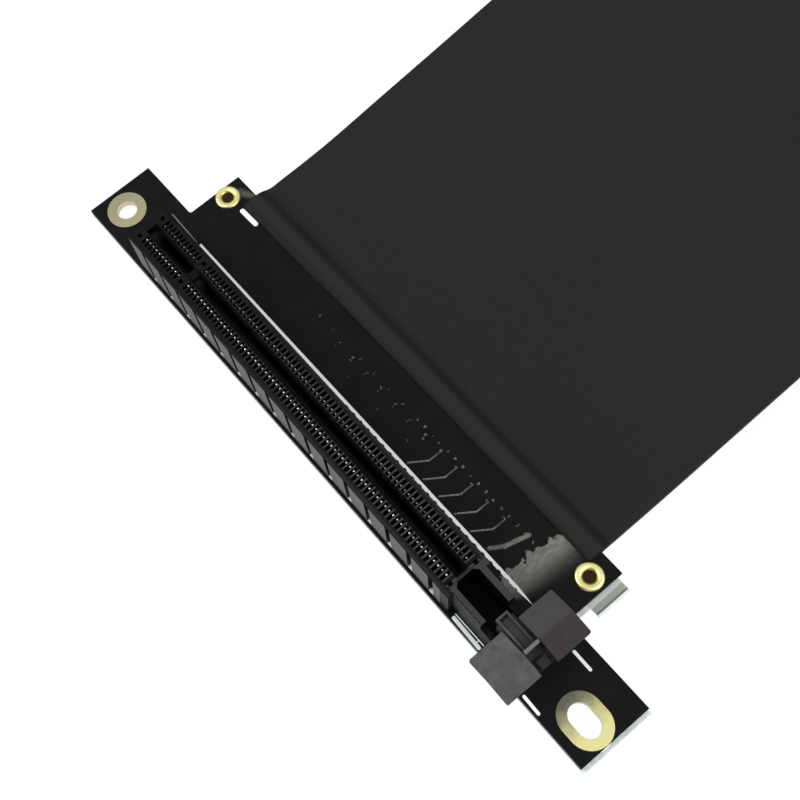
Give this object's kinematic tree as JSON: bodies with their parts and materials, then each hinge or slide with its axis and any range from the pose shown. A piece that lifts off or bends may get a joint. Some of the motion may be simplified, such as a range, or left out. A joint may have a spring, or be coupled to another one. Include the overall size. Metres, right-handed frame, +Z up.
{
  "type": "riser ribbon cable",
  "caption": "Card slot with a winged latch on a black board, joined by a flat cloth-covered ribbon to a plug board with a gold card edge.",
  "frame": {"origin": "middle of the bounding box's footprint, on the table", "axes": "+X along the slot from the pin 1 end to the latch, +Y from the slot along the ribbon to the plug, +Z up out of the slot"},
  "size_m": [0.139, 0.2506, 0.0155],
  "materials": {
    "black_board": "semi-gloss solder mask",
    "black_moulding": "satin",
    "latch_moulding": "matte",
    "contact_plating": "bright",
    "land_plating": "satin gold plating",
    "eyelet_brass": "bright",
    "pale_sheet": "matte",
    "clear_film": "clear, glossy",
    "grey_ribbon": "satin",
    "black_cloth": "ribbed, satin"
  },
  "bodies": {
    "riser": {"socket_board": "black_board", "slot_housing": "black_moulding", "contact_row_near": "contact_plating", "contact_row_far": "contact_plating", "round_land": "land_plating", "slotted_land": "land_plating", "eyelet_left": "eyelet_brass", "eyelet_right": "eyelet_brass", "insulating_sheet": "pale_sheet", "clear_tape_tab": "clear_film", "ribbon_cable_upper": "grey_ribbon", "ribbon_cable_lower": "grey_ribbon", "cable_wrap": "black_cloth", "plug_board": "black_board", "finger_row_upper": "land_plating", "finger_row_lower": "land_plating"},
    "latch": {"slot_latch": "latch_moulding"}
  },
  "joints": [
    {"name": "latch_pivot", "type": "hinge", "parent": "riser", "child": "latch", "pos_m": [0.0468, -0.11668, 0.0076], "axis": [0, 1, 0], "range_deg": [0, 22]}
  ]
}
